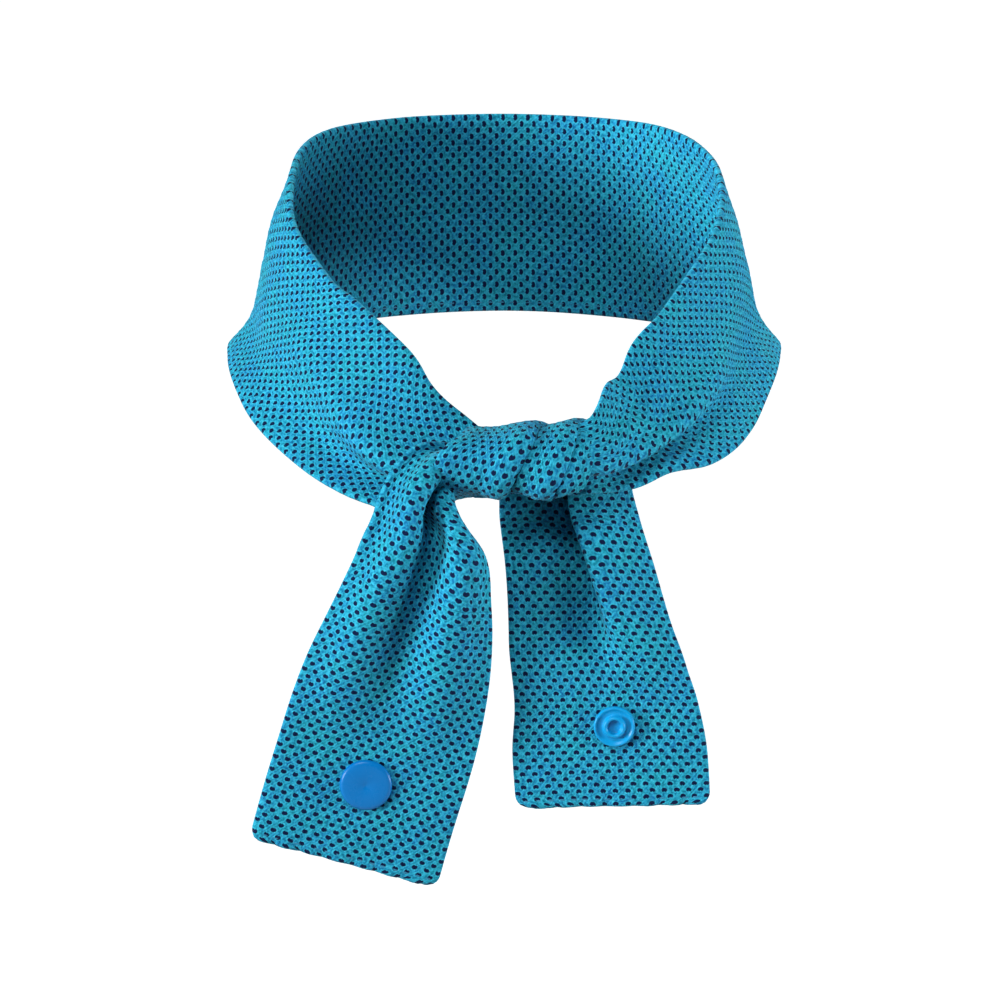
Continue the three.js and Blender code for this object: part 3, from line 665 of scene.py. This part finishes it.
def distance_from_snaps(strip, lengths, across):
    """How far each point of the cloth lies from the nearest snap."""
    sizes = strip.sizes
    from_cap = np.hypot(lengths[:, None] - sizes.cap_from_hem, across)
    past_socket = strip.length - lengths[:, None] - sizes.socket_from_hem
    return np.minimum(from_cap, np.hypot(past_socket, across - sizes.socket_aside))


def soft_rise(strip, lengths, across):
    """How far the soft unevenness, and the gathers near the knot, lift the cloth's middle."""
    from_knots = np.abs(lengths[:, None] / strip.length - np.array(KNOT_PLACES)) * strip.length
    gathered = np.exp(-((from_knots.min(axis=1, keepdims=True) / GATHER_REACH) ** 2))
    free = np.clip(distance_from_snaps(strip, lengths, across) / SNAP_FLAT - 1, 0, 1)
    rise = np.zeros(across.shape)
    for swing, reach_along, reach_across, share in (
        (WRINKLE, WRINKLE_ALONG, WRINKLE_ACROSS, 1),
        (GATHER, GATHER_ALONG, GATHER_ACROSS, gathered),
    ):
        soft = np.array([
            [noise.noise(Vector((length / reach_along, place / reach_across, 0))) for place in row]
            for length, row in zip(lengths, across)
        ])
        rise += swing * share * soft * free
    return rise


def laid_cloth(strip, lengths, shares):
    """The middle of the cloth with its creases, soft unevenness and puckered hems, and how its face looks."""
    middle = strip.surface(lengths, shares)
    width = strip.width_at(lengths)[:, None]
    across = shares[None, :] * width
    rise = crease_rise((lengths / strip.length)[:, None], across, width) + soft_rise(strip, lengths, across)
    from_hem = np.minimum(lengths, strip.length - lengths)[:, None]
    pucker = np.sin(2 * np.pi * across / PUCKER_LENGTH) * np.clip(1 - from_hem / PUCKER_REACH, 0, 1) ** 2
    middle = middle + face_normals(middle) * (rise + PUCKER_RISE * pucker)[..., None]
    return middle, face_normals(middle)


def piece_lengths(start, end, rows):
    """Lengths along the strip of a piece's mesh rows, with more of them close to its ends to round those."""
    even = np.linspace(start, end, rows * CELLS_ALONG + 1)
    near = np.array(END_ROWS)
    return np.sort(np.concatenate((even, start + near, end - near)))


def piece_shares(eyelet_rows):
    """Shares of the width of a piece's mesh columns, the outermost ones placed to round the folded edges."""
    shares = np.linspace(-0.5, 0.5, eyelet_rows * CELLS_ACROSS + 1)
    for k, edge in enumerate(EDGE_SHARES):
        shares[k] = -0.5 + edge / eyelet_rows
        shares[-1 - k] = 0.5 - edge / eyelet_rows
    return shares


def face_heights(strip, mesh, lengths, shares, cell):
    """How far a piece's faces lie from the cloth's middle, with round edges, sewn grooves and eyelets."""
    cloth = strip.sizes.cloth
    from_side = (0.5 - np.abs(shares))[None, :] * strip.width_at(lengths)[:, None]
    from_ends = np.minimum(lengths - lengths[0], lengths[-1] - lengths)
    from_hem = np.minimum(lengths, strip.length - lengths)
    end_radius = np.where(from_hem < strip.sizes.tab_corner, cloth / 2, SEAM_ROUND)
    height = cloth / 2 * rounding(from_side, cloth / 2) * rounding(from_ends, end_radius)[:, None]
    height -= EDGE_GROOVE * np.exp(-(((from_side - EDGE_SEAM) / EDGE_GROOVE_REACH) ** 2))
    i, j = np.meshgrid(np.round(cell * CELLS_ALONG).astype(int), np.arange(len(shares)), indexing="ij")
    eyelet = (i // CELLS_ALONG + j // CELLS_ACROSS) % 2 == 0
    inside = (i % CELLS_ALONG > 0) & (j % CELLS_ACROSS > 0)
    relief = np.where(inside, np.where(eyelet, -mesh.eyelet_depth, mesh.yarn_rise), 0)
    fade = np.clip(from_side / RELIEF_FADE, 0, 1) * np.clip(from_ends / RELIEF_FADE, 0, 1)[:, None]
    return height + relief * fade


def lay_face(bm, points, cell, shares, side, chunks):
    """Adds one face of a piece: a grid laid on the points, mapped for the weave and for baking."""
    weave, bake = (bm.loops.layers.uv[name] for name in ("weave", "OFBake"))
    along, across = len(cell) - 1, len(shares) - 1
    grid = bmesh.ops.create_grid(bm, x_segments=across, y_segments=along, size=0.5)["verts"]
    place = {}
    for vert in grid:
        place[vert] = (round((vert.co.y + 0.5) * along), round((vert.co.x + 0.5) * across))
        vert.co = points[place[vert]]
    faces = {face for vert in grid for face in vert.link_faces}
    for face in faces:
        ats = [place[loop.vert] for loop in face.loops]
        chunk = min(min(at[0] for at in ats) * chunks // along, chunks - 1)
        row = chunk + (chunks if side < 0 else 0)
        for loop, at in zip(face.loops, ats):
            share = shares[at[1]] + 0.5
            loop[weave].uv = (cell[at[0]], share * across / CELLS_ACROSS)
            u = at[0] / along * chunks - chunk
            loop[bake].uv = (0.01 + 0.98 * u, (row + 0.02 + 0.96 * share) / (2 * chunks))
    if side < 0:
        bmesh.ops.reverse_faces(bm, faces=list(faces))


def cloth_piece(name, node, strip, start, end, mesh, material, chunks):
    """A stretch of the strip: two grids, laid on the strip's two faces and joined along their edges.

    The map for baking is cut into chunks along the strip, so that a long piece fills it.
    """
    rows = max(2, round((end - start) / mesh.row_pitch))
    lengths = piece_lengths(start, end, rows)
    shares = piece_shares(mesh.eyelet_rows)
    cell = (lengths - start) / ((end - start) / rows)
    middle, normal = laid_cloth(strip, lengths, shares)
    height = face_heights(strip, mesh, lengths, shares, cell)
    bm = bmesh.new()
    for layer in ("weave", "OFBake"):
        bm.loops.layers.uv.new(layer)
    for side in (1, -1):
        lay_face(bm, middle + normal * (side * height)[..., None], cell, shares, side, chunks)
    bmesh.ops.remove_doubles(bm, verts=bm.verts, dist=0.001 * MM)
    return finished(name, bm, material, node)


def add_light(name, kind, strength, size, place, target):
    """A light that looks at the target. Its size is an angle for a sun and a length for an area light."""
    lamp = bpy.data.lights.new(name, kind)
    lamp.energy = strength
    setattr(lamp, "angle" if kind == "SUN" else "size", size)
    light = bpy.data.objects.new(name, lamp)
    light.location = place
    light.rotation_euler = (target - Vector(place)).to_track_quat("-Z", "Y").to_euler()
    bpy.context.scene.collection.objects.link(light)


def studio_floor(stage):
    """A wide flat floor below the object."""
    bm = bmesh.new()
    bmesh.ops.create_grid(bm, x_segments=1, y_segments=1, size=stage.floor_reach)
    data = bpy.data.meshes.new("floor")
    bm.to_mesh(data)
    bm.free()
    data.transform(Matrix.Translation((0, 0, CAD_BOX[0].z - stage.floor_drop)))
    data.materials.append(studio_paper(stage))
    floor = bpy.data.objects.new("floor", data)
    floor.visible_diffuse = False  # so that it doesn't throw its light up into the folds
    bpy.context.scene.collection.objects.link(floor)
    return floor


SENSOR_WIDTH = 36  # of the camera, in millimetres
FAR = 50  # how far the camera sees, in metres


class NECKWRAP_OT_stage(bpy.types.Operator):
    """Camera at the photo's angle, soft studio lights and a pale floor"""

    bl_idname = "neckwrap.stage"
    bl_label = "Stage"

    def execute(self, context):
        scene = context.scene
        stage = scene.neck_wrap.stage
        target = Vector((0, 0, stage.target_height))
        back = Vector((0, -math.cos(stage.camera_elevation), math.sin(stage.camera_elevation)))
        camera = bpy.data.objects.new("camera", bpy.data.cameras.new("camera"))
        camera.data.lens = stage.camera_lens
        camera.data.sensor_width = SENSOR_WIDTH
        camera.data.clip_end = FAR
        camera.location = target + back * stage.camera_distance
        camera.rotation_euler = (-back).to_track_quat("-Z", "Y").to_euler()
        scene.collection.objects.link(camera)
        scene.camera = camera
        scene.view_settings.view_transform = "Standard"
        for name, kind, strength, size, place in (
            ("key_light", "SUN", stage.key_strength, stage.softness, (-1.6, -0.75, 0.08)),
            ("top_light", "SUN", stage.top_strength, stage.softness, (-0.45, -1.1, 1.15)),
            ("fill_light", "AREA", stage.fill_power, stage.lamp_size, (1.45, -0.35, -0.1)),
            ("back_light", "AREA", stage.back_power, stage.lamp_size, (0.3, 1.3, 1.0)),
        ):
            add_light(name, kind, strength, size, place, target)
        world = bpy.data.worlds.new("studio")
        world.use_nodes = True
        world.node_tree.nodes["Background"].inputs["Color"].default_value = colour("ffffff")
        world.node_tree.nodes["Background"].inputs["Strength"].default_value = stage.world_strength
        scene.world = world
        studio_floor(stage)
        return {"FINISHED"}


class NECKWRAP_OT_cloth(bpy.types.Operator):
    """The band and the two tabs: one strip of eyelet mesh, tied, in the pieces it is sewn from"""

    bl_idname = "neckwrap.cloth"
    bl_label = "Cloth"

    def execute(self, context):
        settings = context.scene.neck_wrap
        sizes = settings.strip
        mesh = settings.mesh
        strip = Strip(sizes)
        material = eyelet_mesh_cloth(mesh)
        tab = sizes.tab_length
        last = strip.length - tab
        band = cloth_piece("band_cloth", "neck_band", strip, tab, last, mesh, material, 2)
        left = cloth_piece("tab_left_cloth", "tab_left", strip, 0.0, tab, mesh, material, 1)
        right = cloth_piece("tab_right_cloth", "tab_right", strip, last, strip.length, mesh, material, 1)
        return {"FINISHED"}


SIDES = 96  # of a round piece
SNAP_RING = 6 * MM  # across the socket's raised ring
SNAP_RING_BORE = 3.6 * MM  # across the hollow in it
SNAP_RING_HEIGHT = 2.2 * MM
SOCKET_FLOOR = 0.8 * MM  # thickness of the plate between the socket's rim and its ring


def cap_profile(snap, spike):
    """Half a cap's outline, in millimetres: its spike, flat back, round edge and slightly dished middle."""
    edge, post, top, tip = (
        size / MM for size in (snap.cap_diameter / 2, snap.post_diameter / 2, snap.cap_thickness, spike)
    )
    return [
        (0, -tip), (post, -tip), (post, 0), (edge - 0.5, 0), (edge - 0.12, 0.12), (edge, 0.45),
        (edge - 0.08, 0.8), (edge - 0.3, 1.12), (edge - 0.65, 1.36), (edge - 1.1, 1.5), (edge - 1.7, 1.57),
        (edge - 2.6, top), (0.5, top), (0.4, top - 0.06), (0, top - 0.08),
    ]


def socket_profile(snap):
    """Half a socket's outline, in millimetres: a raised rim, a plate and a raised ring round a hollow."""
    edge, ring, bore, top, floor = (
        size / MM
        for size in (
            snap.socket_diameter / 2, SNAP_RING / 2, SNAP_RING_BORE / 2, SNAP_RING_HEIGHT, SOCKET_FLOOR
        )
    )
    return [
        (0, 0), (edge - 0.3, 0), (edge, 0.3), (edge, 0.9), (edge - 0.1, 1.3), (edge - 0.3, 1.52),
        (edge - 0.55, 1.5), (edge - 0.8, 1.3), (edge - 1.1, 1.05), (ring + 0.4, floor),
        (ring + 0.1, floor + 0.15), (ring, top - 0.7), (ring - 0.1, top - 0.3), (ring - 0.32, top - 0.07),
        (ring - 0.6, top), (bore + 0.32, top - 0.1), (bore + 0.15, top - 0.4), (bore + 0.05, top - 1.1),
        (bore - 0.1, floor + 0.05), (bore - 0.4, floor), (0, floor + 0.04),
    ]


def stud_profile(snap):
    """Half a stud's outline, in millimetres: a plate with a round edge and a nose that swells at its end."""
    edge = snap.stud_diameter / 2 / MM
    return [
        (0, 0), (edge - 0.3, 0), (edge, 0.3), (edge, 0.9), (edge - 0.3, 1.25), (edge - 0.8, 1.4),
        (1.6, 1.4), (1.4, 1.6), (1.38, 2.0), (1.55, 2.4), (1.66, 2.8), (1.55, 3.2), (1.25, 3.5), (0.8, 3.6),
        (0, 3.6),
    ]


def turned(profile):
    """A bmesh turned about +Z from (radius, height) points in millimetres, the first and last on the axis."""
    bm = bmesh.new()
    verts = [bm.verts.new((radius * MM, 0, height * MM)) for radius, height in profile]
    edges = [bm.edges.new(pair) for pair in zip(verts, verts[1:])]
    bmesh.ops.spin(
        bm, geom=verts + edges, axis=(0, 0, 1), cent=(0, 0, 0), angle=2 * math.pi, steps=SIDES, use_merge=True
    )
    bmesh.ops.remove_doubles(bm, verts=bm.verts, dist=0.002 * MM)
    bmesh.ops.recalc_face_normals(bm, faces=bm.faces)
    return bm


class NECKWRAP_OT_snaps(bpy.types.Operator):
    """The snap halves on both faces of both tabs"""

    bl_idname = "neckwrap.snaps"
    bl_label = "Snaps"

    def execute(self, context):
        settings = context.scene.neck_wrap
        sizes = settings.strip
        snap = settings.snap
        strip = Strip(sizes)
        thick = moulded_acetal("moulded_acetal_cap", snap.cap_colour)
        # The socket and stud share the caps' acetal, painted lighter as a lit copy
        lit_acetal = moulded_acetal("lit_moulded_acetal_ring", snap.lit_ring_colour)
        cap = cap_profile(snap, sizes.cloth + sizes.seam_gap)
        left = (sizes.cap_from_hem, 0)
        right = (strip.length - sizes.socket_from_hem, sizes.socket_aside)
        for name, node, profile, material, (length, aside), side in (
            ("cap_front", "snap_cap_front", cap, thick, left, 1),
            ("stud_back", "snap_stud", stud_profile(snap), lit_acetal, left, -1),
            ("socket_front", "snap_socket", socket_profile(snap), lit_acetal, right, 1),
            ("cap_back", "snap_cap_back", cap, thick, right, -1),
        ):
            middle, across, outward = strip.frame_at(np.array([strip.row_at(length)]))
            away = Vector(outward[0]) * side
            seat = Vector(middle[0] + across[0] * aside) + away * (sizes.cloth / 2 + sizes.seam_gap)
            bm = turned(profile)
            turn = away.to_track_quat("Z", "Y").to_matrix().to_4x4()
            bmesh.ops.transform(bm, matrix=Matrix.Translation(seat) @ turn, verts=bm.verts)
            finished(name, bm, material, node)
        return {"FINISHED"}


STITCH_LENGTH = 2.4 * MM
STITCH_GAP = 0.5 * MM
THREAD = 0.22 * MM  # half a stitch's width
THREAD_FLAT = 0.8  # a stitch's height, as a share of its width
HEM_STITCH = 2.3 * MM  # from a hem to its row of stitches
EDGE_STITCH = 2.8 * MM  # from the band's edge to its row behind the neck
EDGE_STITCH_FROM = 0.36  # where that row starts and ends, as shares of the strip's length
EDGE_STITCH_TO = 0.64
BESIDE = 0.3 * MM  # how far beside a row of stitches the cloth is laid too, to tell how its face looks


def stitch_row(bm, points, normals):
    """A row of stitches: a short thread between each pair of points, lying on the cloth."""
    for a, b, up in zip(points[::2], points[1::2], normals[::2]):
        a, b, up = Vector(a), Vector(b), Vector(up)
        run = (b - a).normalized()
        side = up.cross(run).normalized()
        ball = bmesh.ops.create_uvsphere(bm, u_segments=8, v_segments=5, radius=1)["verts"]
        turn = Matrix((run, side, run.cross(side))).transposed().to_4x4()
        scale = Matrix.Diagonal(((b - a).length / 2, THREAD, THREAD * THREAD_FLAT, 1))
        bmesh.ops.transform(bm, matrix=Matrix.Translation((a + b) / 2) @ turn @ scale, verts=ball)


def stitch_ends(start, end):
    """Where each stitch of a row starts and ends."""
    count = int((end - start) / (STITCH_LENGTH + STITCH_GAP))
    starts = np.linspace(start, end, count, endpoint=False) + STITCH_GAP / 2
    return np.ravel(np.column_stack((starts, starts + STITCH_LENGTH)))


class NECKWRAP_OT_stitches(bpy.types.Operator):
    """Topstitching along both hems and behind the neck"""

    bl_idname = "neckwrap.stitches"
    bl_label = "Stitches"

    def execute(self, context):
        settings = context.scene.neck_wrap
        sizes = settings.strip
        strip = Strip(sizes)
        material = sewing_thread()
        beside = np.array((-BESIDE, 0, BESIDE))
        lie = sizes.cloth / 2 - THREAD / 2
        half = sizes.tab_width / 2 - EDGE_SEAM
        shares = stitch_ends(-half, half) / sizes.tab_width
        last = strip.length - HEM_STITCH
        for name, length in (("hem_stitches_left", HEM_STITCH), ("hem_stitches_right", last)):
            points, normals = laid_cloth(strip, length + beside, shares)
            bm = bmesh.new()
            for side in (1, -1):
                stitch_row(bm, points[1] + normals[1] * side * lie, normals[1] * side)
            finished(name, bm, material, None)
        lengths = stitch_ends(EDGE_STITCH_FROM * strip.length, EDGE_STITCH_TO * strip.length)
        shares = (EDGE_STITCH + beside) / sizes.band_width - 0.5
        points, normals = laid_cloth(strip, lengths, shares)
        bm = bmesh.new()
        for side in (1, -1):
            stitch_row(bm, points[:, 1] + normals[:, 1] * side * lie, normals[:, 1] * side)
        finished("band_stitches", bm, material, None)
        return {"FINISHED"}


class NECKWRAP_PT_panel(bpy.types.Panel):
    """Lists the neck wrap's pieces"""

    bl_idname = "NECKWRAP_PT_panel"
    bl_label = "Neck Wrap"
    bl_space_type = "VIEW_3D"
    bl_region_type = "UI"
    bl_category = "Neck Wrap"

    def draw(self, context):
        layout = self.layout
        for operator in OPERATORS:
            layout.operator(operator.bl_idname)
        settings = context.scene.neck_wrap
        for group in (settings.strip, settings.mesh, settings.snap, settings.stage):
            box = layout.box()
            for name in group.bl_rna.properties.keys():
                if name not in ("rna_type", "name"):
                    box.prop(group, name)


OPERATORS = (NECKWRAP_OT_stage, NECKWRAP_OT_cloth, NECKWRAP_OT_snaps, NECKWRAP_OT_stitches)
CLASSES = (
    StripSettings, MeshSettings, SnapSettings, StageSettings, NeckWrapSettings, *OPERATORS, NECKWRAP_PT_panel
)


def register():
    for cls in CLASSES:
        bpy.utils.register_class(cls)
    bpy.types.Scene.neck_wrap = PointerProperty(
        name="Neck wrap", description="Settings of the neck wrap", type=NeckWrapSettings
    )


def unregister():
    del bpy.types.Scene.neck_wrap
    for cls in reversed(CLASSES):
        bpy.utils.unregister_class(cls)


def main():
    """Builds the whole scene."""
    register()
    bpy.ops.neckwrap.stage()
    bpy.ops.neckwrap.cloth()
    bpy.ops.neckwrap.snaps()
    bpy.ops.neckwrap.stitches()


if __name__ == "__main__":
    main()
